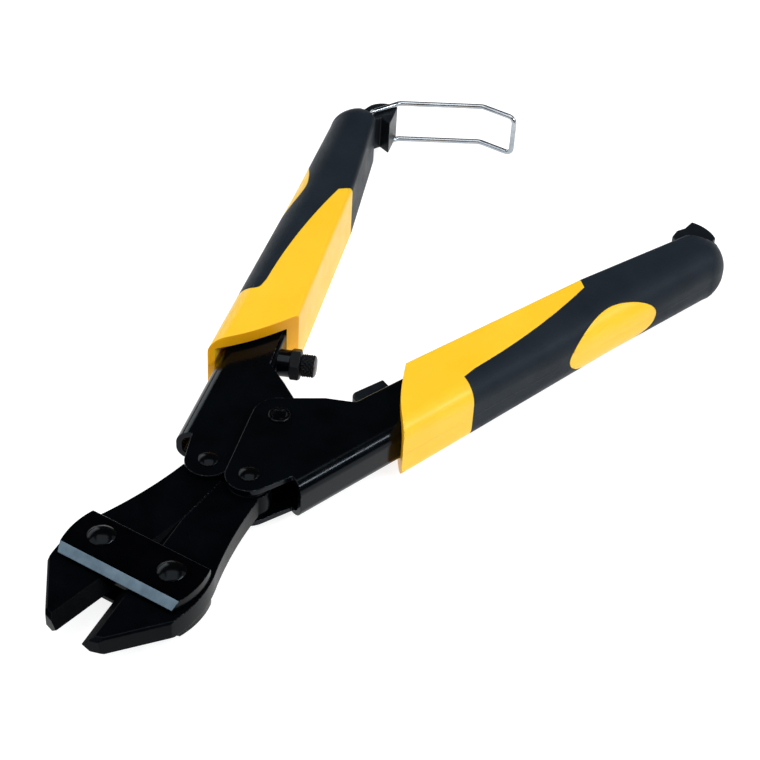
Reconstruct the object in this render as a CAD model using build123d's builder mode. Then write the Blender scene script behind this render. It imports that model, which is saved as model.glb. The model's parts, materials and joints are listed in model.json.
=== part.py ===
from build123d import *
import os
from math import cos, radians, sin, sqrt, tan

# Compact bolt cutters: two forged jaws between a pair of straps, worked by two folded sheet
# handles with two-material grips. +Y runs from the jaws to the handles, +X to the right
# handle, +Z up. The origin is the middle of the lower strap's outside face.

os.makedirs("parts", exist_ok=True)

# ---- Driving dimensions (mm, degrees) ----
JAW_HALF = 2.5            # half the jaws' thickness
STRAP_THICKNESS = 2.75
SHEET = 1.4               # handle sheet
SLIDE_GAP = 0.05          # between faces that slide on each other
SHAFT_GAP = 0.05          # radial, round a turning rivet

JAW_PIVOT_X = 9.2         # jaw rivets, either side of the parting line
TAIL_X, TAIL_Y = 5.52, 33.21
CENTRE_Y = 53.09          # rivet that joins the handles
HANDLE_ANGLE = 24.4       # each handle from the centre line, open
JAW_ANGLE = 8.4           # each jaw from closed, open

GRIP_HALF = 8.1           # half the grips' height
SKIN = 1.3                # overmould thickness
WIRE_R = 0.7

# ---- Heights, counted from the mid-plane ----
STRAP_INNER = JAW_HALF + SLIDE_GAP
STRAP_OUTER = STRAP_INNER + STRAP_THICKNESS
OUTER_HALF = {"left": STRAP_INNER + SHEET, "right": STRAP_INNER + 2 * SHEET + SLIDE_GAP}
SIDES = {"left": -1, "right": 1}
MID = Plane.XY.offset(STRAP_OUTER)


def handle_plane(side):
    """Mid-plane frame at the centre rivet: x along the handle, y towards the other handle."""
    angle = radians(HANDLE_ANGLE)
    along = (side * sin(angle), cos(angle), 0)
    return Plane(origin=(0, CENTRE_Y, STRAP_OUTER), x_dir=along, z_dir=(0, 0, side))


def handle_point(side, along, inner, height=0.0):
    """World point from handle coordinates; height is up, for either handle."""
    return handle_plane(side).from_local_coords((along, inner, side * height))


def tail_in_handle():
    """The tail rivet in its handle's frame, the same for both handles."""
    local = handle_plane(1).to_local_coords(Vector(TAIL_X, TAIL_Y, STRAP_OUTER))
    return local.X, local.Y


def nearest(shapes, *points):
    """For each point, the shape whose middle is nearest to it."""
    return [min(shapes, key=lambda shape: (shape.center() - Vector(*p)).length) for p in points]


def finish(part, name):
    part.label = name
    export_step(part, f"parts/{name}.step")


# ---- Rivets ----
def rivet_axis_plane(x, y):
    """Upright plane through a rivet's axis: local x is the radius, local y the height."""
    return Plane(origin=(x, y, STRAP_OUTER), x_dir=(1, 0, 0), z_dir=(0, -1, 0))


def dome_arc(radius, foot, crown):
    """Spherical dome from its rim to its top, in the rivet's radius and height."""
    sphere = (radius ** 2 + crown ** 2) / (2 * crown)
    shoulder = radius * 0.6
    rise = sqrt(sphere ** 2 - shoulder ** 2) - (sphere - crown)
    return (radius, foot), (shoulder, foot + rise), (0, foot + crown)


def make_rivet(name, x, y, shank, face, head, rim, crown):
    """Domed rivet, the same above and below, with its heads on faces at +/-face."""
    with BuildPart() as rivet:
        with BuildSketch(rivet_axis_plane(x, y)):
            with BuildLine():
                rim_point, on_dome, top = dome_arc(head, face + rim, crown)
                ThreePointArc(rim_point, on_dome, top)
                Polyline(rim_point, (head, face), (shank, face), (shank, 0), (0, 0), top)
            make_face()
            mirror(about=Plane(origin=(x, y, STRAP_OUTER), z_dir=(0, 0, 1)))
        revolve(axis=Axis((x, y, STRAP_OUTER), (0, 0, 1)))
    finish(rivet.part, name)


JAW_SHANK, JAW_HEAD, JAW_RIM, JAW_CROWN = 2.1, 3.15, 0.25, 1.15
TAIL_SHANK, TAIL_HEAD, TAIL_RIM, TAIL_CROWN = 1.6, 2.35, 0.2, 0.75
for label, side in SIDES.items():
    make_rivet(f"jaw_rivet_{label}", side * JAW_PIVOT_X, 0, JAW_SHANK, STRAP_OUTER,
               JAW_HEAD, JAW_RIM, JAW_CROWN)
    make_rivet(f"tail_rivet_{label}", side * TAIL_X, TAIL_Y, TAIL_SHANK,
               OUTER_HALF[label] + SLIDE_GAP, TAIL_HEAD, TAIL_RIM, TAIL_CROWN)

# Flush centre rivet: a flat head each side with a dished middle. It is tight in the left
# handle; the right handle's holes have room round it.
CENTRE_SHANK, CENTRE_HEAD, CENTRE_DISH = 1.9, 2.6, 1.55
CENTRE_HEAD_HEIGHT, DISH_DEPTH, DISH_CROWN = 0.5, 0.3, 0.18
DISH_WALL, RIM_BREAK = 0.15, 0.25
CENTRE_ROOM = 0.3
head_foot = OUTER_HALF["right"] + SLIDE_GAP
head_top = head_foot + CENTRE_HEAD_HEIGHT
with BuildPart() as centre_rivet:
    with BuildSketch(rivet_axis_plane(0, CENTRE_Y)):
        with BuildLine():
            dish = dome_arc(CENTRE_DISH, head_top - DISH_DEPTH, DISH_CROWN)
            ThreePointArc(*dish)
            Polyline(dish[0], (CENTRE_DISH + DISH_WALL, head_top),
                     (CENTRE_HEAD - RIM_BREAK, head_top),
                     (CENTRE_HEAD, head_top - RIM_BREAK), (CENTRE_HEAD, head_foot),
                     (CENTRE_SHANK, head_foot), (CENTRE_SHANK, 0), (0, 0), dish[2])
        make_face()
        mirror(about=Plane(origin=(0, CENTRE_Y, STRAP_OUTER), z_dir=(0, 0, 1)))
    revolve(axis=Axis((0, CENTRE_Y, STRAP_OUTER), (0, 0, 1)))
finish(centre_rivet.part, "centre_rivet")

# ---- Straps ----
STRAP_FRONT, STRAP_REAR = -7.7, 5.3
STRAP_FRONT_X, STRAP_REAR_X = 14.9, 15.4
STRAP_BULGE = (16.3, -1.0)
FRONT_BEVEL, REAR_BREAK = 1.7, 0.35

for label, up in (("strap_upper", 1), ("strap_lower", -1)):
    with BuildPart() as strap:
        with BuildSketch(MID.offset(up * STRAP_INNER)):
            with BuildLine():
                Line((-STRAP_FRONT_X, STRAP_FRONT), (STRAP_FRONT_X, STRAP_FRONT))
                for side in SIDES.values():
                    ThreePointArc((side * STRAP_FRONT_X, STRAP_FRONT),
                                  (side * STRAP_BULGE[0], STRAP_BULGE[1]),
                                  (side * STRAP_REAR_X, STRAP_REAR))
                Line((-STRAP_REAR_X, STRAP_REAR), (STRAP_REAR_X, STRAP_REAR))
            make_face()
            with Locations((-JAW_PIVOT_X, 0), (JAW_PIVOT_X, 0)):
                Circle(JAW_SHANK, mode=Mode.SUBTRACT)
        extrude(amount=up * STRAP_THICKNESS)
        for end, cut in ((STRAP_FRONT, FRONT_BEVEL), (STRAP_REAR, REAR_BREAK)):
            outer_edge = nearest(strap.edges(), (0, end, STRAP_OUTER + up * STRAP_OUTER))
            chamfer(outer_edge, cut)
    finish(strap.part, label)

# ---- Jaws ----
NOSE_Y, SHOULDER = -22.7, (7.0, -21.5)
FLANK_FRONT, FLANK_BULGE, FLANK_REAR = (16.1, -9.7), (17.0, -1.0), (15.0, 8.0)
NECK_BEND, NECK_END = (12.3, 17.5), (10.2, 30.2)
JAW_TAIL_Y = 30.5
FLANK_BREAK, NOSE_BEVEL = 0.45, 0.9
PARTING_X = 0.03          # half the gap between the jaws' tails when open
BLADE_GAP = 0.06          # half the gap between the blades when closed
TAIL_EYE_R = 5.2
RIGHT_BOSS_R = 4.9        # thicker boss that the right handle's plates bear on
BLADE_BEVEL = JAW_HALF - 0.06


def blade_x(y):
    """The open blade's edge: straight, and parallel to the centre line when the jaw closes."""
    turn = radians(JAW_ANGLE)
    return JAW_PIVOT_X - (JAW_PIVOT_X - BLADE_GAP) / cos(turn) - y * tan(turn)


BLADE_ROOT_Y = -(PARTING_X - blade_x(0)) / tan(radians(JAW_ANGLE))

def flip(x, y):
    """A point of the right jaw's outline, mirrored for the left jaw."""
    return side * x, y


for label, side in SIDES.items():
    with BuildPart() as jaw:
        with BuildSketch(MID):
            with BuildLine():
                Polyline(flip(PARTING_X, JAW_TAIL_Y), flip(PARTING_X, BLADE_ROOT_Y),
                         flip(blade_x(NOSE_Y), NOSE_Y), flip(*SHOULDER), flip(*FLANK_FRONT))
                ThreePointArc(flip(*FLANK_FRONT), flip(*FLANK_BULGE), flip(*FLANK_REAR))
                ThreePointArc(flip(*FLANK_REAR), flip(*NECK_BEND), flip(*NECK_END))
                Line(flip(*NECK_END), flip(PARTING_X, JAW_TAIL_Y))
            make_face()
            with Locations((side * TAIL_X, TAIL_Y)):
                Circle(TAIL_EYE_R)
        extrude(amount=JAW_HALF, both=True)
        blade_middle = (blade_x(NOSE_Y) + PARTING_X) / 2, (NOSE_Y + BLADE_ROOT_Y) / 2
        nose_middle = (blade_x(NOSE_Y) + SHOULDER[0]) / 2, (NOSE_Y + SHOULDER[1]) / 2
        flank_middle = (SHOULDER[0] + FLANK_FRONT[0]) / 2, (SHOULDER[1] + FLANK_FRONT[1]) / 2
        levels = (STRAP_OUTER - JAW_HALF, STRAP_OUTER + JAW_HALF)
        chamfer(nearest(jaw.edges(), *[(*flip(*flank_middle), z) for z in levels]), FLANK_BREAK)
        chamfer(nearest(jaw.edges(), *[(*flip(*nose_middle), z) for z in levels]), NOSE_BEVEL)
        chamfer(nearest(jaw.edges(), *[(*flip(*blade_middle), z) for z in levels]), BLADE_BEVEL)
        if label == "right":
            with BuildSketch(MID):
                with Locations((side * TAIL_X, TAIL_Y)):
                    Circle(RIGHT_BOSS_R)
            extrude(amount=OUTER_HALF["left"], both=True)
        with BuildSketch(MID):
            with Locations((side * JAW_PIVOT_X, 0)):
                Circle(JAW_SHANK + SHAFT_GAP)
            with Locations((side * TAIL_X, TAIL_Y)):
                Circle(TAIL_SHANK)
        extrude(amount=STRAP_OUTER, both=True, mode=Mode.SUBTRACT)
    finish(jaw.part, f"jaw_{label}")

# ---- Handle stampings: a folded channel with a rounded back, and two plates forward of it ----
EAR_R, EYE_R = 5.4, 6.3
BACK_FRONT, BACK_INNER, BACK_SLOPE = -8.0, -22.4, 0.14
STEEL_END = 118.0
LIP_START = {"left": (18.5, -4.9), "right": (16.8, -4.2)}
LIP_SLOPE = {"left": 0.085, "right": 0.1}
LIP_BEND, LIP_REAR_SLOPE = 40.0, 0.05
WAIST = {"left": (13.8, -1.5), "right": (12.4, -0.1)}
WAIST_R = {"left": 6.0, "right": 4.5}
FOLD_R, LIP_FOLD_R = 3.3, 1.3
SCREW_ALONG, COLLAR_R, COLLAR_END = 25.0, 3.3, -1.55
SCREW_R = 1.95
EYE_TURN = radians(20)


def back_line(along):
    return BACK_INNER + BACK_SLOPE * (along - BACK_FRONT)


def lip_line(label, along):
    """How far in the lip lies: it rises towards the other handle, less so behind its bend."""
    front, inner = LIP_START[label]
    rise = LIP_SLOPE[label] * (min(along, LIP_BEND) - front)
    return inner + rise + LIP_REAR_SLOPE * max(along - LIP_BEND, 0)


def steel_envelope(label, side):
    """The channel's outside as one solid, before it is hollowed."""
    half = OUTER_HALF[label]
    tail = tail_in_handle()
    ear_outer = tail[1] - EAR_R
    eye_exit = (EYE_R * sin(EYE_TURN), EYE_R * cos(EYE_TURN))
    with BuildPart() as outside:
        with BuildSketch(handle_plane(side)) as outline:
            with Locations(tail):
                Circle(EAR_R)
            with Locations((0, 0)):
                Circle(EYE_R)
            make_hull()
            with BuildLine():
                Polyline((BACK_FRONT, back_line(BACK_FRONT)), (BACK_FRONT, ear_outer),
                         (tail[0], ear_outer), tail, (0, 0), eye_exit, WAIST[label],
                         LIP_START[label], (LIP_BEND, lip_line(label, LIP_BEND)),
                         (STEEL_END, lip_line(label, STEEL_END)),
                         (STEEL_END, back_line(STEEL_END)), close=True)
            make_face()
            waist = nearest(outline.vertices(), handle_point(side, *LIP_START[label]))
            fillet(waist, WAIST_R[label])
        extrude(amount=half, both=True)
        middle = (BACK_FRONT + STEEL_END) / 2
        backs = [handle_point(side, middle, back_line(middle), z) for z in (-half, half)]
        fillet(nearest(outside.edges(), *backs), FOLD_R)
        middles = (LIP_START[label][0] + LIP_BEND) / 2, (LIP_BEND + STEEL_END) / 2
        lips = [handle_point(side, along, lip_line(label, along), z)
                for along in middles for z in (-half, half)]
        fillet(nearest(outside.edges(), *lips), LIP_FOLD_R)
    return outside.part


def hollow_tool(label, side):
    """What is taken out between the plates: all of it in front, the channel's inside behind."""
    reach = 40.0
    lip_front = LIP_START[label][0]
    with BuildPart() as hollow:
        with BuildSketch(handle_plane(side)):
            with BuildLine():
                Polyline((-reach, -reach), (BACK_FRONT, -reach),
                         (BACK_FRONT, back_line(BACK_FRONT) + SHEET),
                         (STEEL_END + SHEET, back_line(STEEL_END) + SHEET),
                         (STEEL_END + SHEET, lip_line(label, STEEL_END) - SHEET),
                         (LIP_BEND, lip_line(label, LIP_BEND) - SHEET),
                         (lip_front, lip_line(label, lip_front) - SHEET), (lip_front, reach),
                         (-reach, reach), close=True)
            make_face()
        inside = OUTER_HALF[label] - SHEET
        extrude(amount=inside, both=True)
        middle = (BACK_FRONT + STEEL_END + SHEET) / 2
        backs = [handle_point(side, middle, back_line(middle) + SHEET, z)
                 for z in (-inside, inside)]
        fillet(nearest(hollow.edges(), *backs), FOLD_R - SHEET)
    return hollow.part


envelopes = {label: steel_envelope(label, side) for label, side in SIDES.items()}

for label, side in SIDES.items():
    plane = handle_plane(side)
    half = OUTER_HALF[label]
    with BuildPart() as handle:
        add(envelopes[label])
        add(hollow_tool(label, side), mode=Mode.SUBTRACT)
        with BuildSketch(plane):
            with Locations(tail_in_handle()):
                Circle(TAIL_SHANK + SHAFT_GAP)
            with Locations((0, 0)):
                Circle(CENTRE_SHANK + (CENTRE_ROOM if label == "right" else 0))
        extrude(amount=2 * half, both=True, mode=Mode.SUBTRACT)
        if label == "left":
            foot = lip_line(label, SCREW_ALONG) - SHEET / 2
            screw_plane = Plane(origin=handle_point(side, SCREW_ALONG, foot),
                                x_dir=plane.x_dir, z_dir=plane.y_dir)
            with BuildSketch(screw_plane):
                Circle(COLLAR_R)
            extrude(amount=COLLAR_END - foot)
            with BuildSketch(screw_plane):
                Circle(SCREW_R + SHAFT_GAP)
            extrude(amount=COLLAR_END - foot + SHEET, both=True, mode=Mode.SUBTRACT)
    finish(handle.part, f"handle_{label}")

# ---- Stop screw, lock nut and stop pad ----
SHANK_END, NUT_FOOT, NUT_HEIGHT, NUT_FLATS = -12.0, COLLAR_END, 2.5, 7.0
HEAD_FOOT, HEAD_END, SCREW_HEAD_R, HEAD_BREAK = 1.05, 4.7, 2.8, 0.3


def screw_station(inner):
    """Plane across the stop screw's axis at a distance towards the other handle."""
    plane = handle_plane(SIDES["left"])
    return Plane(origin=handle_point(SIDES["left"], SCREW_ALONG, inner),
                 x_dir=plane.x_dir, z_dir=plane.y_dir)


with BuildPart() as stop_screw:
    with BuildSketch(screw_station(SHANK_END)):
        Circle(SCREW_R)
    extrude(amount=HEAD_FOOT - SHANK_END)
    with BuildSketch(screw_station(HEAD_FOOT)):
        Circle(SCREW_HEAD_R)
    extrude(amount=HEAD_END - HEAD_FOOT)
    rims = stop_screw.edges().filter_by(GeomType.CIRCLE).group_by(SortBy.RADIUS)[-1]
    chamfer(rims, HEAD_BREAK)
finish(stop_screw.part, "stop_screw")

with BuildPart() as lock_nut:
    with BuildSketch(screw_station(NUT_FOOT)):
        RegularPolygon(radius=NUT_FLATS / 2, side_count=6, major_radius=False, rotation=30)
        Circle(SCREW_R + SHAFT_GAP, mode=Mode.SUBTRACT)
    extrude(amount=NUT_HEIGHT)
finish(lock_nut.part, "lock_nut")

PAD_FRONT, PAD_REAR, PAD_FRONT_TOP, PAD_REAR_TOP = 19.2, 28.6, -0.1, 0.4
PAD_HALF, PAD_CORNER_R, PAD_BREAK = 3.8, 1.6, 0.6
with BuildPart() as stop_pad:
    with BuildSketch(handle_plane(SIDES["right"])) as pad_outline:
        with BuildLine():
            Polyline((PAD_FRONT, lip_line("right", PAD_FRONT)),
                     (PAD_REAR, lip_line("right", PAD_REAR)), (PAD_REAR, PAD_REAR_TOP),
                     (PAD_FRONT, PAD_FRONT_TOP), close=True)
        make_face()
        pad_corners = [handle_point(1, PAD_REAR, PAD_REAR_TOP),
                       handle_point(1, PAD_FRONT, PAD_FRONT_TOP)]
        fillet(nearest(pad_outline.vertices(), *pad_corners), PAD_CORNER_R)
    extrude(amount=PAD_HALF, both=True)
    pad_faces = stop_pad.faces().filter_by(Axis.Z)
    fillet(pad_faces.edges().filter_by(GeomType.CIRCLE), PAD_BREAK)
finish(stop_pad.part, "stop_pad")

# ---- Grips ----
# Stations along the handle: where the inner and outer faces lie, and their edge radii. Behind
# the last one the grip closes in a rounded end.
GRIP_STATIONS = [
    {"along": 16.0, "inner": -2.8, "outer": -21.4, "inner_r": 0.9, "outer_r": 3.6},
    {"along": 90.0, "inner": 3.9, "outer": -12.0, "inner_r": 1.4, "outer_r": 6.9},
    {"along": 124.8, "inner": 5.1, "outer": -7.5, "inner_r": 1.6, "outer_r": 6.3},
]
END_LENGTH, END_DROP, END_PULL = 7.4, 3.6, 4.8
END_TURNS = (0, 22, 44, 63, 80)      # degrees round the rounded end
END_MARGIN = 0.6          # least straight height left in an end section
MOUTH_EDGE = [(52.5, 30.0), (34.0, -1.2), (24.8, -12.5), (19.6, -22.0), (14.0, -32.0)]
NOTCH_FRONT, NOTCH_REAR = (124.4, 5.8), (131.2, -0.4)
MOUTH_DEPTH, MOUTH_HALF, MOUTH_ROOM = 50.0, 5.0, 0.9
OVAL_ALONG, OVAL_UP, OVAL_LENGTH, OVAL_HEIGHT = 89.1, 0.3, 30.4, 13.8
OVAL_FOOT = -7.0          # the oval window is cut from here outwards
CLEAR = 40.0              # a reach past every face of a grip
DIAGONAL = 1 - sqrt(0.5)
INNER_R_MIN = 0.4
SKIN_EDGE_END, SKIN_CORNER, SKIN_CORNER_R = (46.5, -11.4), (42.6, -12.6), 2.2
SKIN_TIP_R = 3.5          # where the yellow part runs out on the inner side
SKIN_REACH = [(40.6, -30.0), (160.0, -30.0), (160.0, 12.0)]
SKIN_EDGE_REAR = [(91.0, 12.0), (89.4, 3.0), (88.4, 0.2)]
SKIN_EDGE_MIDDLE = (66.0, -7.2)


def grip_section(side, along, inner, outer, top, inner_r, outer_r):
    """Rounded section across a grip, sharper along its inner edges than its outer ones."""
    plane = handle_plane(side)
    section_plane = Plane(origin=handle_point(side, along, 0), x_dir=plane.y_dir, z_dir=plane.x_dir)
    with BuildSketch(section_plane) as section:
        with BuildLine():
            for up in (-1, 1):
                Line((inner, 0), (inner, up * (top - inner_r)))
                ThreePointArc((inner, up * (top - inner_r)),
                              (inner - DIAGONAL * inner_r, up * (top - DIAGONAL * inner_r)),
                              (inner - inner_r, up * top))
                Line((inner - inner_r, up * top), (outer + outer_r, up * top))
                ThreePointArc((outer + outer_r, up * top),
                              (outer + DIAGONAL * outer_r, up * (top - DIAGONAL * outer_r)),
                              (outer, up * (top - outer_r)))
                Line((outer, up * (top - outer_r)), (outer, 0))
        make_face()
    return section.sketch


def grip_station(side, station, inset, turn=0.0):
    """A station's section, drawn in by inset; turn, in degrees, takes it round the end."""
    drawn_in = 1 - cos(radians(turn))
    top = GRIP_HALF - inset - END_DROP * drawn_in
    return grip_section(
        side,
        station["along"] + (END_LENGTH - inset) * sin(radians(turn)),
        station["inner"] - inset,
        station["outer"] + inset + END_PULL * drawn_in,
        top,
        max(station["inner_r"] - inset, INNER_R_MIN),
        min(station["outer_r"] - inset, top - END_MARGIN),
    )


def grip_envelope(side, inset):
    """The grip's outside, or its inside face under the overmould, as one solid."""
    with BuildPart() as end:
        for turn in END_TURNS:
            add(grip_station(side, GRIP_STATIONS[-1], inset, turn))
        loft()
    with BuildPart() as envelope:
        for station in GRIP_STATIONS:
            add(grip_station(side, station, inset))
        loft(ruled=True)
        add(end.part)
        with BuildSketch(handle_plane(side)):
            with BuildLine():
                Spline(*MOUTH_EDGE)
                Polyline(MOUTH_EDGE[-1], (0, MOUTH_EDGE[-1][1]), (0, CLEAR), MOUTH_EDGE[0])
            make_face()
            with BuildLine():
                Polyline((NOTCH_FRONT[0], CLEAR), NOTCH_FRONT, NOTCH_REAR,
                         (NOTCH_REAR[0] + CLEAR, NOTCH_REAR[1]),
                         (NOTCH_REAR[0] + CLEAR, CLEAR), close=True)
            make_face()
        extrude(amount=2 * GRIP_HALF, both=True, mode=Mode.SUBTRACT)
    return envelope.part


def skin_zone(side, inside):
    """Where the overmould lies: the rear and the outer side, round an oval window."""
    plane = handle_plane(side)
    with BuildPart() as zone:
        with BuildSketch(plane) as outline:
            with BuildLine():
                Polyline(SKIN_EDGE_END, SKIN_CORNER, *SKIN_REACH, *SKIN_EDGE_REAR)
                ThreePointArc(SKIN_EDGE_REAR[-1], SKIN_EDGE_MIDDLE, SKIN_EDGE_END)
            make_face()
            fillet(nearest(outline.vertices(), handle_point(side, *SKIN_CORNER)), SKIN_CORNER_R)
            fillet(nearest(outline.vertices(), handle_point(side, *SKIN_EDGE_REAR[-1])), SKIN_TIP_R)
        extrude(amount=2 * GRIP_HALF, both=True)
        add(inside, mode=Mode.SUBTRACT)
        oval_plane = Plane(origin=handle_point(side, OVAL_ALONG, OVAL_FOOT, OVAL_UP),
                           x_dir=plane.x_dir, z_dir=-plane.y_dir)
        with BuildSketch(oval_plane):
            Ellipse(OVAL_LENGTH / 2, OVAL_HEIGHT / 2)
        extrude(amount=CLEAR, mode=Mode.SUBTRACT)
    return zone.part


for label, side in SIDES.items():
    outside = grip_envelope(side, 0.0)
    zone = skin_zone(side, grip_envelope(side, SKIN))
    with BuildPart() as overmould:
        add(outside)
        add(zone, mode=Mode.INTERSECT)
    finish(overmould.part, f"grip_overmould_{label}")
    with BuildPart() as core:
        add(outside)
        add(zone, mode=Mode.SUBTRACT)
        add(envelopes[label], mode=Mode.SUBTRACT)
        if label == "left":
            with BuildSketch(handle_plane(side)):
                with BuildLine():
                    Polyline((0, back_line(0) - MOUTH_ROOM),
                             (MOUTH_DEPTH, back_line(MOUTH_DEPTH) - MOUTH_ROOM),
                             (MOUTH_DEPTH, lip_line(label, MOUTH_DEPTH)),
                             (LIP_BEND, lip_line(label, LIP_BEND)),
                             (0, lip_line(label, 0)), close=True)
                make_face()
            extrude(amount=MOUTH_HALF, both=True, mode=Mode.SUBTRACT)
    finish(core.part, f"grip_core_{label}")

# ---- Bail bracket, catch lug and wire bail ----
BLOCK_HALF = 5.0
BAIL_PIVOT = (130.5, 3.3)
BRACKET_FOOT = (127.0, 3.43)          # on the notch's floor, in front of the wire
BRACKET_BACK = [(128.4, 4.7), (129.8, 6.2), (127.2, 8.9), (131.7, 9.5), (136.2, 10.0)]
BRACKET_BULGE, BRACKET_END = (137.4, 6.4), (135.5, 2.3)
LUG_BACK = [(124.8, 8.8), (127.6, 10.2), (130.2, 10.0), (133.6, 11.2)]
LUG_BULGE, LUG_TIP = (134.9, 7.4), (134.5, 3.1)
LUG_HOOK = [(134.2, 2.4), (132.9, 2.0), (132.6, NOTCH_REAR[1])]
with BuildPart() as bail_bracket:
    with BuildSketch(handle_plane(SIDES["left"])):
        with BuildLine():
            Polyline(NOTCH_REAR, BRACKET_FOOT, *BRACKET_BACK)
            ThreePointArc(BRACKET_BACK[-1], BRACKET_BULGE, BRACKET_END)
            Line(BRACKET_END, NOTCH_REAR)
        make_face()
        with Locations(BAIL_PIVOT):
            Circle(WIRE_R + SHAFT_GAP, mode=Mode.SUBTRACT)
    extrude(amount=BLOCK_HALF, both=True)
finish(bail_bracket.part, "bail_bracket")

with BuildPart() as catch_lug:
    with BuildSketch(handle_plane(SIDES["right"])):
        with BuildLine():
            Polyline(NOTCH_REAR, NOTCH_FRONT, *LUG_BACK)
            ThreePointArc(LUG_BACK[-1], LUG_BULGE, LUG_TIP)
            Polyline(LUG_TIP, *LUG_HOOK, NOTCH_REAR)
        make_face()
    extrude(amount=BLOCK_HALF, both=True)
finish(catch_lug.part, "catch_lug")

LEG_HEIGHT, BAIL_HOOK_END = 5.87, 3.0
BAIL_LEG = [BAIL_PIVOT, (136.7, 10.4), (139.9, 33.8), (135.6, 43.1)]
HOOK_R, LEG_R, BAR_R = 0.8, 2.5, 1.8
with BuildPart() as wire_bail:
    with BuildLine() as bail_path:
        left = SIDES["left"]
        upper = [handle_point(left, *BAIL_PIVOT, BAIL_HOOK_END)]
        upper += [handle_point(left, *point, LEG_HEIGHT) for point in BAIL_LEG]
        lower = [handle_point(left, *point, -LEG_HEIGHT) for point in reversed(BAIL_LEG)]
        lower += [handle_point(left, *BAIL_PIVOT, -BAIL_HOOK_END)]
        FilletPolyline(*upper, *lower,
                       radius=[HOOK_R, LEG_R, LEG_R, BAR_R, BAR_R, LEG_R, LEG_R, HOOK_R])
    with BuildSketch(Plane(origin=bail_path.line @ 0, z_dir=bail_path.line % 0)):
        Circle(WIRE_R)
    sweep()
finish(wire_bail.part, "wire_bail")
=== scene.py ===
import json
from math import ceil, cos, pi, radians, sin, tan

import bmesh
import bpy
from mathutils import Matrix, Vector


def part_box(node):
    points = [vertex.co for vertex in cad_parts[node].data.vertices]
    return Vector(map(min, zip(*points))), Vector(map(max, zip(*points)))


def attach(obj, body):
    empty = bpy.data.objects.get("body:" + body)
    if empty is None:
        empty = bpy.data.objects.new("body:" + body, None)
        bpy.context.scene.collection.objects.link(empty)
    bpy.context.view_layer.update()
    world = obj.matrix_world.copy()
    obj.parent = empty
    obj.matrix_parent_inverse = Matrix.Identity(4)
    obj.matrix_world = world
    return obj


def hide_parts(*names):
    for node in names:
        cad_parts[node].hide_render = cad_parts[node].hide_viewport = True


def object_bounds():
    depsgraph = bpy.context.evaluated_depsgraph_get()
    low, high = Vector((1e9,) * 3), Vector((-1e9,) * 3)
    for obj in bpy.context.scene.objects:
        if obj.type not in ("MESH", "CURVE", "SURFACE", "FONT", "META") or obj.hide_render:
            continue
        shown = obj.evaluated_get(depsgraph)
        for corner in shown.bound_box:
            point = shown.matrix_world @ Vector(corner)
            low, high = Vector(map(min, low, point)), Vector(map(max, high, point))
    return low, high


# Compact bolt cutters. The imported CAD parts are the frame. Most parts are shown as copies of
# their CAD meshes with rounded edges. The stop screw and its nut are modelled afresh, and the
# wire bail is the CAD part itself, in zinc.

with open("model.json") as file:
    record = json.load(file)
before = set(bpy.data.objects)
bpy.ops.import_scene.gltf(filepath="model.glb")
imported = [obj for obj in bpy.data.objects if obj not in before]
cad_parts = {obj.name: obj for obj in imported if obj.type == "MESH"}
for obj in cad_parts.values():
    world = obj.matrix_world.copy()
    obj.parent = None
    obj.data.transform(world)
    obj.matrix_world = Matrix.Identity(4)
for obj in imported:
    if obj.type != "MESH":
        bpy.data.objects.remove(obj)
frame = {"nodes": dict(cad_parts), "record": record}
cad_low, cad_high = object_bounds()
nodes = frame["nodes"]
body_of = {
    node: body
    for body, members in frame["record"]["behaviour"]["bodies"].items()
    for node in members
}

MM = 0.001
SIDES = {"left": -1, "right": 1}
MID_Z = sum(corner.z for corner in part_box("centre_rivet")) / 2
CENTRE_Y = sum(corner.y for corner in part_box("centre_rivet")) / 2
HANDLE_ANGLE = radians(24.4)    # from the middle line to each handle, at rest


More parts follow.
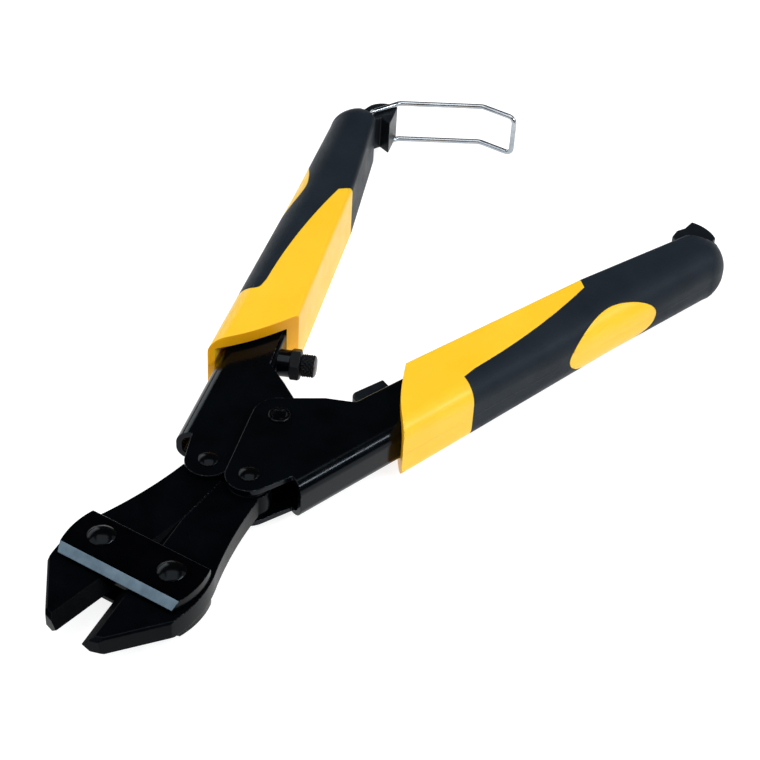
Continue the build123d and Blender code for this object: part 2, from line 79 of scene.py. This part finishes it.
# ---- Materials ----
class Finish:
    """A procedural material. Its pattern sits in the row frame, so it moves with its piece."""

    def __init__(self, name, **sockets):
        self.material = bpy.data.materials.new(name)
        self.material.use_nodes = True
        self.tree = self.material.node_tree
        self.shader = self.tree.nodes["Principled BSDF"]
        for socket, value in sockets.items():
            self.shader.inputs[socket.replace("_", " ")].default_value = value
        self.place = self.node("ShaderNodeTexCoord").outputs["Object"]

    def node(self, kind, **settings):
        node = self.tree.nodes.new(kind)
        for setting, value in settings.items():
            setattr(node, setting, value)
        return node

    def link(self, output, node, socket):
        self.tree.links.new(output, node.inputs[socket])

    def stretched(self, factors, turn):
        """The row-frame place turned about Z, then scaled along each axis."""
        turned = self.node("ShaderNodeMapping")
        turned.inputs["Rotation"].default_value = (0, 0, turn)
        self.link(self.place, turned, "Vector")
        scaled = self.node("ShaderNodeMapping")
        scaled.inputs["Scale"].default_value = factors
        self.link(turned.outputs["Vector"], scaled, "Vector")
        return scaled.outputs["Vector"]

    def noise(self, grain, detail=3.0, rough=0.55, place=None):
        """Smooth noise from 0 to 1; grain is the size of its features in metres."""
        noise = self.node("ShaderNodeTexNoise")
        noise.inputs["Scale"].default_value = 1 / grain
        noise.inputs["Detail"].default_value = detail
        noise.inputs["Roughness"].default_value = rough
        self.link(place or self.place, noise, "Vector")
        return noise.outputs["Fac"]

    def cells(self, grain):
        """Distance to the nearest cell's middle, for pebbled grain."""
        cells = self.node("ShaderNodeTexVoronoi")
        cells.inputs["Scale"].default_value = 1 / grain
        self.link(self.place, cells, "Vector")
        return cells.outputs["Distance"]

    def spread(self, value, low, high, to_low, to_high):
        """value from low..high, mapped to to_low..to_high and held there."""
        spread = self.node("ShaderNodeMapRange")
        for socket, number in (("From Min", low), ("From Max", high),
                               ("To Min", to_low), ("To Max", to_high)):
            spread.inputs[socket].default_value = number
        self.link(value, spread, "Value")
        return spread.outputs["Result"]

    def combine(self, operation, *values):
        """A maths node on its values, each a socket or a number."""
        maths = self.node("ShaderNodeMath", operation=operation)
        for index, value in enumerate(values):
            if isinstance(value, (int, float)):
                maths.inputs[index].default_value = value
            else:
                self.link(value, maths, index)
        return maths.outputs["Value"]

    def blend(self, share, first, second):
        """A colour between first and second, each a colour or a socket."""
        mix = self.node("ShaderNodeMix", data_type="RGBA")
        self.link(share, mix, "Factor")
        for socket, colour in (("A", first), ("B", second)):
            wanted = next(s for s in mix.inputs if s.name == socket and s.type == "RGBA")
            if isinstance(colour, tuple):
                wanted.default_value = (*colour, 1)
            else:
                self.tree.links.new(colour, wanted)
        return next(s for s in mix.outputs if s.type == "RGBA")

    def clouded(self, grain, detail, deep, lit, start=0.3):
        """A cloudy mix of two colours: returns the colour and the noise behind it."""
        cloud = self.noise(grain, detail)
        return self.blend(self.spread(cloud, start, 0.7, 0, 1), deep, lit), cloud

    def edge_share(self, radius, share):
        """A share on sharp edges and 0 on flat faces, for edge wear and, on the enamels, also a
        painted edge highlight. share is a socket or a number.
        """
        softened = self.node("ShaderNodeBevel", samples=4)
        softened.inputs["Radius"].default_value = radius
        surface = self.node("ShaderNodeNewGeometry")
        likeness = self.node("ShaderNodeVectorMath", operation="DOT_PRODUCT")
        self.link(softened.outputs["Normal"], likeness, 0)
        self.link(surface.outputs["Normal"], likeness, 1)
        edge = self.spread(likeness.outputs["Value"], 0.995, 0.85, 0.0, 1.0)
        return self.combine("MULTIPLY", edge, share)

    def relief(self, *layers):
        """Bumps on top of each other; each layer is (height, depth in metres)."""
        normal = None
        for height, depth in layers:
            bump = self.node("ShaderNodeBump")
            bump.inputs["Distance"].default_value = depth
            self.link(height, bump, "Height")
            if normal is not None:
                self.link(normal, bump, "Normal")
            normal = bump.outputs["Normal"]
        self.link(normal, self.shader, "Normal")

    def colour(self, output):
        self.link(output, self.shader, "Base Color")

    def roughness(self, output):
        self.link(output, self.shader, "Roughness")


def enamel(name, deep, lit, gloss, smooth, edge_colour):
    """Black enamel: faint orange peel, cloudy gloss and greyer edges, partly wear chips and
    partly a painted highlight along the edges.
    """
    finish = Finish(name, Specular_Tint=(0.78, 0.9, 1.0, 1), Specular_IOR_Level=gloss)
    body = finish.clouded(9 * MM, 4, deep, lit, start=0.35)[0]
    # Greyer patches along the edges: partly wear chips, partly a painted highlight.
    wear_and_highlight_patches = finish.spread(finish.noise(0.6 * MM, detail=5), 0.5, 0.66, 0, 1)
    finish.colour(finish.blend(finish.edge_share(0.25 * MM, wear_and_highlight_patches), body, edge_colour))
    smudge = finish.noise(4 * MM, detail=6, rough=0.7)
    finish.roughness(finish.spread(smudge, 0.3, 0.75, smooth, smooth + 0.14))
    peel = finish.noise(0.9 * MM, detail=2)
    dust = finish.noise(0.16 * MM, detail=2)
    finish.relief((peel, 0.008 * MM), (dust, 0.002 * MM))
    return finish.material


GRINDING = (9000, 350, 350)     # changes in the grinding lines per metre, across and along


def ground_steel(name, deep, lit, rough, turn=0.0, **sockets):
    """Steel with fine grinding lines; turn sets their direction in the row frame."""
    finish = Finish(name, **sockets)
    lines = finish.noise(1.0, detail=4, place=finish.stretched(GRINDING, turn))
    broad = finish.noise(2.5 * MM, detail=3)
    share = finish.combine("MULTIPLY_ADD", lines, 0.6, broad)
    finish.colour(finish.blend(finish.spread(share, 0.55, 1.15, 0, 1), deep, lit))
    finish.roughness(finish.spread(lines, 0.3, 0.7, rough, rough + 0.15))
    finish.relief((lines, 0.006 * MM))
    return finish.material


def yellow_plastic(name, deep, lit):
    """Hard moulded plastic: a satin sheen, faint flow marks, scuffs and a mould seam."""
    finish = Finish(name, Specular_IOR_Level=0.3, Subsurface_Weight=0.2,
                    Subsurface_Scale=1.0 * MM, Subsurface_Radius=(1.0, 0.55, 0.08))
    body = finish.clouded(16 * MM, 3, deep, lit)[0]
    scuffs = finish.spread(finish.noise(1.2 * MM, detail=6, rough=0.7), 0.62, 0.75, 0, 0.35)
    rubbed = finish.combine("MAXIMUM", scuffs, finish.edge_share(0.3 * MM, 0.35))
    finish.colour(finish.blend(rubbed, body, (0.96, 0.66, 0.09)))
    cloud = finish.noise(5 * MM, detail=5, rough=0.65)
    finish.roughness(finish.spread(cloud, 0.3, 0.7, 0.3, 0.43))
    finish.relief((seam(finish), 0.05 * MM), (finish.noise(0.22 * MM, detail=2), 0.003 * MM))
    return finish.material


def seam(finish):
    """A raised mould seam round the middle height of a moulded piece."""
    split = finish.node("ShaderNodeSeparateXYZ")
    finish.link(finish.place, split, "Vector")
    height = finish.combine("SUBTRACT", split.outputs["Z"], MID_Z)
    away = finish.combine("ABSOLUTE", height)
    return finish.spread(away, 0.04 * MM, 0.14 * MM, 1.0, 0.0)


def grip_rubber():
    """Soft black overmould: a fine pebbled grain, paler worn edges and a mould seam."""
    finish = Finish("grip_black_rubber", Specular_Tint=(0.82, 0.92, 1.0, 1),
                    Specular_IOR_Level=0.1)
    deep, lit, edge_colour = (0.0095, 0.0135, 0.019), (0.0135, 0.0185, 0.025), (0.03, 0.036, 0.045)
    body = finish.clouded(12 * MM, 4, deep, lit)[0]
    finish.colour(finish.blend(finish.edge_share(0.4 * MM, 0.4), body, edge_colour))
    smudge = finish.noise(7 * MM, detail=5, rough=0.65)
    finish.roughness(finish.spread(smudge, 0.3, 0.7, 0.42, 0.54))
    pebbles = finish.spread(finish.cells(0.42 * MM), 0.0, 0.6, 1.0, 0.0)
    finish.relief((seam(finish), 0.05 * MM), (pebbles, 0.03 * MM),
                  (finish.noise(0.3 * MM, detail=3), 0.02 * MM))
    return finish.material


def satin_plastic():
    """Hard satin black plastic with the fine grain of a spark-eroded mould."""
    finish = Finish("black_satin_plastic", Specular_Tint=(0.82, 0.92, 1.0, 1),
                    Specular_IOR_Level=0.2)
    deep, lit, edge_colour = (0.003, 0.0042, 0.006), (0.006, 0.008, 0.0105), (0.05, 0.055, 0.062)
    body = finish.clouded(5 * MM, 4, deep, lit)[0]
    finish.colour(finish.blend(finish.edge_share(0.3 * MM, 0.5), body, edge_colour))
    finish.roughness(finish.spread(finish.noise(2 * MM, detail=5), 0.3, 0.7, 0.28, 0.42))
    finish.relief((finish.noise(0.2 * MM, detail=3), 0.01 * MM))
    return finish.material


def black_oxide():
    """Oiled black oxide on steel, rubbed to grey on its edges."""
    finish = Finish("screw_black_oxide", Specular_Tint=(0.9, 0.95, 1.0, 1),
                    Specular_IOR_Level=0.07)
    deep, lit, edge_colour = (0.0015, 0.0018, 0.0022), (0.006, 0.0065, 0.0075), (0.13, 0.135, 0.14)
    body, cloud = finish.clouded(1.6 * MM, 5, deep, lit)
    finish.colour(finish.blend(finish.edge_share(0.14 * MM, 0.55), body, edge_colour))
    finish.roughness(finish.spread(cloud, 0.3, 0.7, 0.3, 0.5))
    finish.relief((finish.noise(0.12 * MM, detail=3), 0.004 * MM))
    return finish.material


def zinc():
    """Bright zinc plate on drawn wire: pale and slightly blue, with cloudy dull patches."""
    finish = Finish("bail_bright_zinc", Metallic=1.0)
    deep, lit, dull = (0.3, 0.33, 0.36), (0.45, 0.48, 0.52), (0.22, 0.235, 0.26)
    body, cloud = finish.clouded(3 * MM, 5, deep, lit, start=0.35)
    pits = finish.spread(finish.noise(0.5 * MM, detail=6), 0.64, 0.72, 0, 0.7)
    finish.colour(finish.blend(pits, body, dull))
    finish.roughness(finish.spread(cloud, 0.3, 0.7, 0.16, 0.32))
    finish.relief((finish.noise(0.35 * MM, detail=3), 0.004 * MM))
    return finish.material


def pale_floor():
    """A white floor that glows a little, so that it stays pale right to its horizon."""
    finish = Finish("studio_floor", Base_Color=(0.38, 0.38, 0.38, 1),
                    Emission_Color=(1, 1, 1, 1), Emission_Strength=0.86)
    finish.roughness(finish.spread(finish.noise(30 * MM, detail=3), 0.3, 0.7, 0.65, 0.8))
    return finish.material


strap_enamel = enamel(
    "strap_black_enamel", deep=(0.0002, 0.0002, 0.0005), lit=(0.0005, 0.0006, 0.001),
    gloss=0.07, smooth=0.13, edge_colour=(0.06, 0.065, 0.075))
# The straps' rear chamfer is painted paler: a painted reflection of light from behind.
strap_rear_painted_reflection = enamel(
    "strap_rear_edge_painted_reflection", deep=(0.022, 0.021, 0.026), lit=(0.04, 0.039, 0.046),
    gloss=0.15, smooth=0.35, edge_colour=(0.1, 0.1, 0.11))
jaw_black = enamel(
    "jaw_black_finish", deep=(0.0004, 0.0006, 0.001), lit=(0.001, 0.0014, 0.0022),
    gloss=0.045, smooth=0.18, edge_colour=(0.08, 0.085, 0.095))
handle_enamel = enamel(
    "handle_black_enamel", deep=(0.0003, 0.0006, 0.001), lit=(0.0009, 0.0015, 0.0024),
    gloss=0.15, smooth=0.1, edge_colour=(0.1, 0.11, 0.125))
rivet_black = enamel(
    "rivet_black_gloss", deep=(0.0004, 0.0005, 0.0007), lit=(0.001, 0.0012, 0.0016),
    gloss=0.1, smooth=0.12, edge_colour=(0.1, 0.105, 0.115))
strap_bevel = ground_steel(
    "strap_bevel_ground", deep=(0.1, 0.142, 0.18), lit=(0.165, 0.226, 0.276),
    rough=0.42, Metallic=1.0)
blade_ground = ground_steel(
    "blade_ground_dark", deep=(0.0006, 0.0008, 0.0012), lit=(0.002, 0.0024, 0.0032),
    rough=0.36, turn=radians(30), Specular_IOR_Level=0.01)
screw_end = ground_steel(
    "screw_end_turned", deep=(0.1, 0.1, 0.105), lit=(0.2, 0.205, 0.215),
    rough=0.4, Metallic=1.0)
grip_yellow = yellow_plastic("grip_yellow_plastic", (0.93, 0.53, 0.018), (0.95, 0.57, 0.03))
# Deeper orange yellow inside the grips' mouths: painted shade and bounced light in the rim.
grip_mouth_painted_shade = yellow_plastic("grip_yellow_mouth_painted_shade", (0.95, 0.42, 0.002), (0.98, 0.48, 0.006))
grip_black = grip_rubber()
plastic_black = satin_plastic()
screw_black = black_oxide()
bail_zinc = zinc()


# ---- Mesh helpers ----
WELD = 0.0005 * MM       # vertices nearer than this are one
FLAT = radians(0.06)     # faces that meet at less than this are one
SHARP = radians(24)      # an edge is sharp when its faces meet at more than this
SLIVER = 0.02 * MM       # edges shorter than this are closed up


def sharp_edges(mesh, wanted=None):
    """Edges between two faces that meet at an angle; wanted(edge) narrows the choice."""
    found = []
    for edge in mesh.edges:
        if len(edge.link_faces) == 2 and edge.calc_face_angle(0.0) > SHARP:
            if wanted is None or wanted(edge):
                found.append(edge)
    return found


def round_edges(mesh, edges, radius, segments):
    """Rounds the given edges, if there are any."""
    if edges:
        bmesh.ops.bevel(mesh, geom=edges, offset=radius, offset_type="OFFSET", profile=0.5,
                        segments=segments, affect="EDGES", clamp_overlap=False, material=-1)


def cad_mesh(node):
    """The CAD node's mesh with its flat faces made whole again."""
    mesh = bmesh.new()
    mesh.from_mesh(nodes[node].data)
    bmesh.ops.remove_doubles(mesh, verts=mesh.verts, dist=WELD)
    bmesh.ops.dissolve_limit(mesh, angle_limit=FLAT, verts=mesh.verts, edges=mesh.edges)
    bmesh.ops.dissolve_degenerate(mesh, edges=mesh.edges, dist=SLIVER)
    return mesh


def stand_for(node, mesh, materials):
    """Shows a mesh in place of a CAD node, on its body and in its material slot."""
    data = bpy.data.meshes.new(f"{node}_detail")
    for polygon in mesh.faces:
        polygon.smooth = True
    mesh.to_mesh(data)
    mesh.free()
    for material in materials:
        data.materials.append(material)
    piece = bpy.data.objects.new(f"{node}_detail", data)
    bpy.context.scene.collection.objects.link(piece)
    piece.modifiers.new("even_shading", "WEIGHTED_NORMAL").keep_sharp = True
    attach(piece, body_of[node])
    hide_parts(node)


def rounded(node, material, radius, segments):
    """Shows a hard part: its CAD mesh with every sharp edge rounded."""
    mesh = cad_mesh(node)
    for face in mesh.faces:
        face.material_index = 0
    round_edges(mesh, sharp_edges(mesh), radius, segments)
    stand_for(node, mesh, [material])


def handle_frame(side, along=0.0):
    """Row-frame matrix of a handle: x along it, y towards the other handle, z up."""
    x = Vector((side * sin(HANDLE_ANGLE), cos(HANDLE_ANGLE), 0))
    y = Vector((-side * cos(HANDLE_ANGLE), sin(HANDLE_ANGLE), 0))
    centre = Vector((0, CENTRE_Y, MID_Z)) + x * along
    turned = Matrix((x, y, Vector((0, 0, 1)))).transposed()
    return Matrix.Translation(centre) @ turned.to_4x4()


# ---- Straps and jaws ----
STRAP_ROUND, JAW_ROUND = 0.11 * MM, 0.16 * MM
BEVEL_REACH = 3 * MM             # the ground bevel lies within this of the strap's front
PARALLEL = 0.99                  # least dot product of two normals that face the same way
SLANT_LEAST, SLANT_MOST = 0.2, 0.95      # the blades' ground faces lean up or down this much
INWARD = 0.3                     # how far they turn towards the middle


def show_straps():
    """Black straps: a bright ground bevel along the front, and a paler rear chamfer that is a
    painted reflection.
    """
    for node, up in (("strap_upper", 1), ("strap_lower", -1)):
        mesh = cad_mesh(node)
        bevel_normal = Vector((0, -1, up)).normalized()
        break_normal = Vector((0, 1, up)).normalized()
        front = min(face.calc_center_median().y for face in mesh.faces)
        for face in mesh.faces:
            on_bevel = face.normal.dot(bevel_normal) > PARALLEL
            near_front = face.calc_center_median().y < front + BEVEL_REACH
            on_break = face.normal.dot(break_normal) > PARALLEL
            # Material 2, on the rear chamfer, is the painted reflection.
            face.material_index = 1 if on_bevel and near_front else 2 if on_break else 0
        round_edges(mesh, sharp_edges(mesh), STRAP_ROUND, 3)
        stand_for(node, mesh, [strap_enamel, strap_bevel, strap_rear_painted_reflection])


def show_jaws():
    """Forged jaws: softened outer edges, and ground faces along the blades."""
    for label, side in SIDES.items():
        mesh = cad_mesh(f"jaw_{label}")
        for face in mesh.faces:
            slanted = SLANT_LEAST < abs(face.normal.z) < SLANT_MOST
            towards_middle = face.normal.x * side < -INWARD
            face.material_index = 1 if slanted and towards_middle else 0
        outer_edges = sharp_edges(mesh, lambda edge: edge.is_convex)
        round_edges(mesh, outer_edges, JAW_ROUND, 3)
        stand_for(f"jaw_{label}", mesh, [jaw_black, blade_ground])


# ---- Stop screw and lock nut ----
# Heights run along the screw's axis, from the handle's middle line towards the other handle.
SCREW_ALONG = 25.0 * MM
SHANK_END, SHANK_R, SHANK_BREAK = -12.0 * MM, 1.95 * MM, 0.3 * MM
PITCH, THREAD_DEPTH, ROWS_PER_TURN = 0.8 * MM, 0.16 * MM, 8
HEAD_FOOT, HEAD_END, HEAD_R = 1.05 * MM, 4.7 * MM, 2.8 * MM
FOOT_ROWS = ((0.0, 0.35), (0.25, 0.08))    # rise and inset of the head's foot, in mm
END_ROWS = (                               # drop and inset of the head's rounded end, in mm
    (0.58, 0.12), (0.42, 0.2), (0.24, 0.4), (0.1, 0.66), (0.02, 0.95), (0.0, 1.2))
KNURL_LOW, KNURL_HIGH = HEAD_FOOT + 0.3 * MM, HEAD_END - 0.62 * MM
KNURL_ROWS, KNURL_GROOVES, KNURL_DEPTH = 30, 15, 0.42 * MM
KNURL_LEAD, KNURL_SHIFT = 2.1 * MM, 1.9    # a groove shifts by so many widths in one lead
KNURL_FLOOR, KNURL_CURVE = 1.25, 1.5       # larger: wider groove floors, rounder crests
AXIS_R = 0.2 * MM                          # the disc in the middle of an end
NUT_FOOT, NUT_TOP, NUT_FLATS, NUT_BORE = -1.55 * MM, 0.95 * MM, 7.0 * MM, 2.0 * MM
NUT_BREAK, NUT_CHAMFER, NUT_ROUND = 0.2 * MM, radians(28), 0.07 * MM
WASHER_R = NUT_FLATS / 2 - 0.12 * MM       # the round flat on each of the nut's faces
SCREW_POINTS, NUT_POINTS = 160, 96         # points round the axis


def lathe(rings, points, matrix):
    """A skin, open at its ends, through rings of (height along Y, radius), each of the angle."""
    mesh = bmesh.new()
    loops = []
    for height, radius in rings:
        loop = []
        for index in range(points):
            angle = 2 * pi * index / points
            reach = radius(angle)
            local = Vector((reach * sin(angle), height(angle), reach * cos(angle)))
            loop.append(mesh.verts.new(matrix @ local))
        loops.append(loop)
    for lower, upper in zip(loops, loops[1:]):
        join_loops(mesh, lower, upper)
    return mesh, loops


def join_loops(mesh, lower, upper):
    """A band of faces between two loops of vertices."""
    for index in range(len(lower)):
        following = (index + 1) % len(lower)
        mesh.faces.new((lower[index], lower[following], upper[following], upper[index]))


def level(value):
    """A constant, as a function of the angle round the axis."""
    return lambda angle: value


def knurl(height):
    """Radius of a diamond knurl: two crossing sets of helical grooves."""

    def radius(angle):
        around = KNURL_GROOVES * angle / (2 * pi)
        shift = height / KNURL_LEAD * KNURL_SHIFT
        nearness = [abs(((around + way * shift) % 1.0) * 2 - 1) for way in (-1, 1)]
        return HEAD_R - KNURL_DEPTH * min(1.0, KNURL_FLOOR * max(nearness) ** KNURL_CURVE)

    return radius


def thread(height):
    """Radius of a V thread."""

    def radius(angle):
        turn = (height / PITCH + angle / (2 * pi)) % 1.0
        return SHANK_R - THREAD_DEPTH * abs(turn * 2 - 1)

    return radius


def show_screw():
    """The stop screw: a threaded shank and a knurled head with a plain rounded end."""
    rings = [
        (level(SHANK_END), level(AXIS_R)),
        (level(SHANK_END), level(SHANK_R - SHANK_BREAK)),
    ]
    steps = ceil((HEAD_FOOT - SHANK_END) / (PITCH / ROWS_PER_TURN))
    for step in range(1, steps):
        height = SHANK_END + (HEAD_FOOT - SHANK_END) * step / steps
        rings.append((level(height), thread(height)))
    rings.append((level(HEAD_FOOT), level(SHANK_R - THREAD_DEPTH)))
    for rise, inset in FOOT_ROWS:
        rings.append((level(HEAD_FOOT + rise * MM), level(HEAD_R - inset * MM)))
    for step in range(KNURL_ROWS + 1):
        height = KNURL_LOW + (KNURL_HIGH - KNURL_LOW) * step / KNURL_ROWS
        rings.append((level(height), knurl(height)))
    for drop, inset in END_ROWS:
        rings.append((level(HEAD_END - drop * MM), level(HEAD_R - inset * MM)))
    rings.append((level(HEAD_END), level(AXIS_R)))
    mesh, loops = lathe(rings, SCREW_POINTS, handle_frame(SIDES["left"], SCREW_ALONG))
    mesh.faces.new(reversed(loops[0]))
    mesh.faces.new(loops[-1])
    bare_end = {vertex for loop in loops[-len(END_ROWS):] for vertex in loop}
    for face in mesh.faces:
        face.material_index = 1 if bare_end.issuperset(face.verts) else 0
    bmesh.ops.recalc_face_normals(mesh, faces=mesh.faces)
    stand_for("stop_screw", mesh, [screw_black, screw_end])


def hexagon(angle):
    """Distance from a nut's axis to its side, with corners at the top and bottom."""
    sector = pi / 3
    return NUT_FLATS / 2 / cos(angle % sector - sector / 2)


def show_nut():
    """The hexagon lock nut, its corners chamfered on both sides."""

    def chamfered(face, into):
        return lambda angle: face + into * (hexagon(angle) - WASHER_R) * tan(NUT_CHAMFER)

    rings = [
        (level(NUT_FOOT + NUT_BREAK), level(NUT_BORE)),
        (level(NUT_FOOT), level(NUT_BORE + NUT_BREAK)),
        (level(NUT_FOOT), level(WASHER_R)),
        (chamfered(NUT_FOOT, 1), hexagon),
        (chamfered(NUT_TOP, -1), hexagon),
        (level(NUT_TOP), level(WASHER_R)),
        (level(NUT_TOP), level(NUT_BORE + NUT_BREAK)),
        (level(NUT_TOP - NUT_BREAK), level(NUT_BORE)),
    ]
    mesh, loops = lathe(rings, NUT_POINTS, handle_frame(SIDES["left"], SCREW_ALONG))
    join_loops(mesh, loops[-1], loops[0])
    bmesh.ops.recalc_face_normals(mesh, faces=mesh.faces)
    bmesh.ops.dissolve_limit(mesh, angle_limit=FLAT, verts=mesh.verts, edges=mesh.edges)
    round_edges(mesh, sharp_edges(mesh), NUT_ROUND, 2)
    stand_for("lock_nut", mesh, [screw_black])


# ---- Grips ----
GRIP_ROUND = 0.13 * MM
MOUTH_REACH = 50 * MM     # the mouth's faces lie in front of this, along the handle
END_REACH = 118 * MM      # the core is shown black behind this
FORWARD, UPRIGHT = 0.3, 0.3       # a mouth face turns forward more, and up or down less


def show_grips():
    """Grips with softened edges, which leave a fine groove where the two plastics meet."""
    for label, side in SIDES.items():
        to_local = handle_frame(side).inverted()
        turn = to_local.to_3x3()
        for half, material in (("core", grip_yellow), ("overmould", grip_black)):
            node = f"grip_{half}_{label}"
            mesh = cad_mesh(node)
            for face in mesh.faces:
                place, facing = to_local @ face.calc_center_median(), turn @ face.normal
                mouth_facing = facing.x < -FORWARD and abs(facing.z) < UPRIGHT
                in_mouth = place.x < MOUTH_REACH and mouth_facing
                at_end = place.x > END_REACH
                # Mouth faces of the core get the deeper orange of painted shade.
                index = 1 if in_mouth else 2 if at_end else 0
                face.material_index = index if half == "core" else 0
            round_edges(mesh, sharp_edges(mesh), GRIP_ROUND, 2)
            stand_for(node, mesh, [material, grip_mouth_painted_shade, grip_black])


# ---- Everything on the object ----
RIVETS = ("jaw_rivet_left", "jaw_rivet_right", "tail_rivet_left", "tail_rivet_right",
          "centre_rivet")
HARD_PARTS = (
    # nodes, material, radius of their rounded edges, segments in a rounded edge
    (("handle_left", "handle_right"), handle_enamel, 0.15 * MM, 3),
    (RIVETS, rivet_black, 0.06 * MM, 2),
    (("stop_pad", "bail_bracket", "catch_lug"), plastic_black, 0.3 * MM, 3),
)

show_straps()
show_jaws()
show_screw()
show_nut()
show_grips()
for names, material, radius, segments in HARD_PARTS:
    for name in names:
        rounded(name, material, radius, segments)
for bail_slot in nodes["wire_bail"].material_slots:
    bail_slot.material = bail_zinc


# ---- Floor, light and camera ----
FLOOR_REACH = 12.0    # metres from the middle, so that its horizon stays pale
COOL, WHITE = (0.93, 0.97, 1.0), (1.0, 1.0, 1.0)
WORLD_COLOUR, WORLD_STRENGTH = (0.95, 0.97, 1.0, 1), 0.05
SOFTBOXES = (
    # name, direction from the object, distance, width and height in metres, watts, colour
    ("key_overhead", (0.1, -0.14, 1.0), 0.9, 0.9, 0.9, 5.9, WHITE),
    ("back_right", (0.62, 0.58, 0.5), 1.0, 0.7, 0.5, 1.2, WHITE),
    ("strip_right", (0.773, 0.141, 0.618), 0.95, 0.6, 0.07, 4.2, COOL),
    ("fill_front", (-0.4, -0.64, 0.66), 1.0, 0.9, 0.6, 3.2, COOL),
    ("fill_left", (-0.92, 0.2, 0.36), 1.0, 0.9, 0.4, 2.7, COOL),
)
CAMERA_PLACE = Vector((0.18015, -0.21742, 0.29783))
CAMERA_AIM = Vector((0.00897, 0.0825, 0.0053))
CAMERA_ROLL = radians(3.56)
LENS_MM, SENSOR_MM = 90, 36


def make_floor():
    """A plain pale floor that the grips rest on."""
    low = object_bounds()[0].z
    mesh = bmesh.new()
    bmesh.ops.create_grid(mesh, x_segments=4, y_segments=4, size=FLOOR_REACH)
    data = bpy.data.meshes.new("studio_floor")
    mesh.to_mesh(data)
    mesh.free()
    data.materials.append(pale_floor())
    floor = bpy.data.objects.new("studio_floor", data)
    floor.location = (0, 0, low)
    bpy.context.scene.collection.objects.link(floor)


def softbox(name, direction, distance, width, height, power, colour):
    """A rectangular area light that faces the middle of the object."""
    middle = (cad_low + cad_high) / 2
    light = bpy.data.lights.new(name, "AREA")
    light.shape = "RECTANGLE"
    light.size, light.size_y = width, height
    light.energy = power
    light.color = colour
    lamp = bpy.data.objects.new(name, light)
    away = Vector(direction).normalized()
    lamp.location = middle + away * distance
    lamp.rotation_euler = away.to_track_quat("Z", "Y").to_euler()
    bpy.context.scene.collection.objects.link(lamp)


def make_lights():
    """Softboxes, a faint even world and plain colour handling."""
    for row in SOFTBOXES:
        softbox(*row)
    world = bpy.data.worlds.new("studio")
    world.use_nodes = True
    background = world.node_tree.nodes["Background"]
    background.inputs["Color"].default_value = WORLD_COLOUR
    background.inputs["Strength"].default_value = WORLD_STRENGTH
    bpy.context.scene.world = world
    bpy.context.scene.view_settings.view_transform = "Standard"


def make_camera():
    """A long lens in front of the jaws, above them and to the right, rolled a little."""
    lens = bpy.data.cameras.new("camera")
    lens.lens, lens.sensor_width = LENS_MM, SENSOR_MM
    lens.clip_start, lens.clip_end = 0.01, 10
    camera = bpy.data.objects.new("camera", lens)
    look = (CAMERA_AIM - CAMERA_PLACE).to_track_quat("-Z", "Y").to_matrix().to_4x4()
    camera.matrix_world = (Matrix.Translation(CAMERA_PLACE) @ look
                           @ Matrix.Rotation(CAMERA_ROLL, 4, "Z"))
    bpy.context.scene.collection.objects.link(camera)
    bpy.context.scene.camera = camera


make_floor()
make_lights()
make_camera()
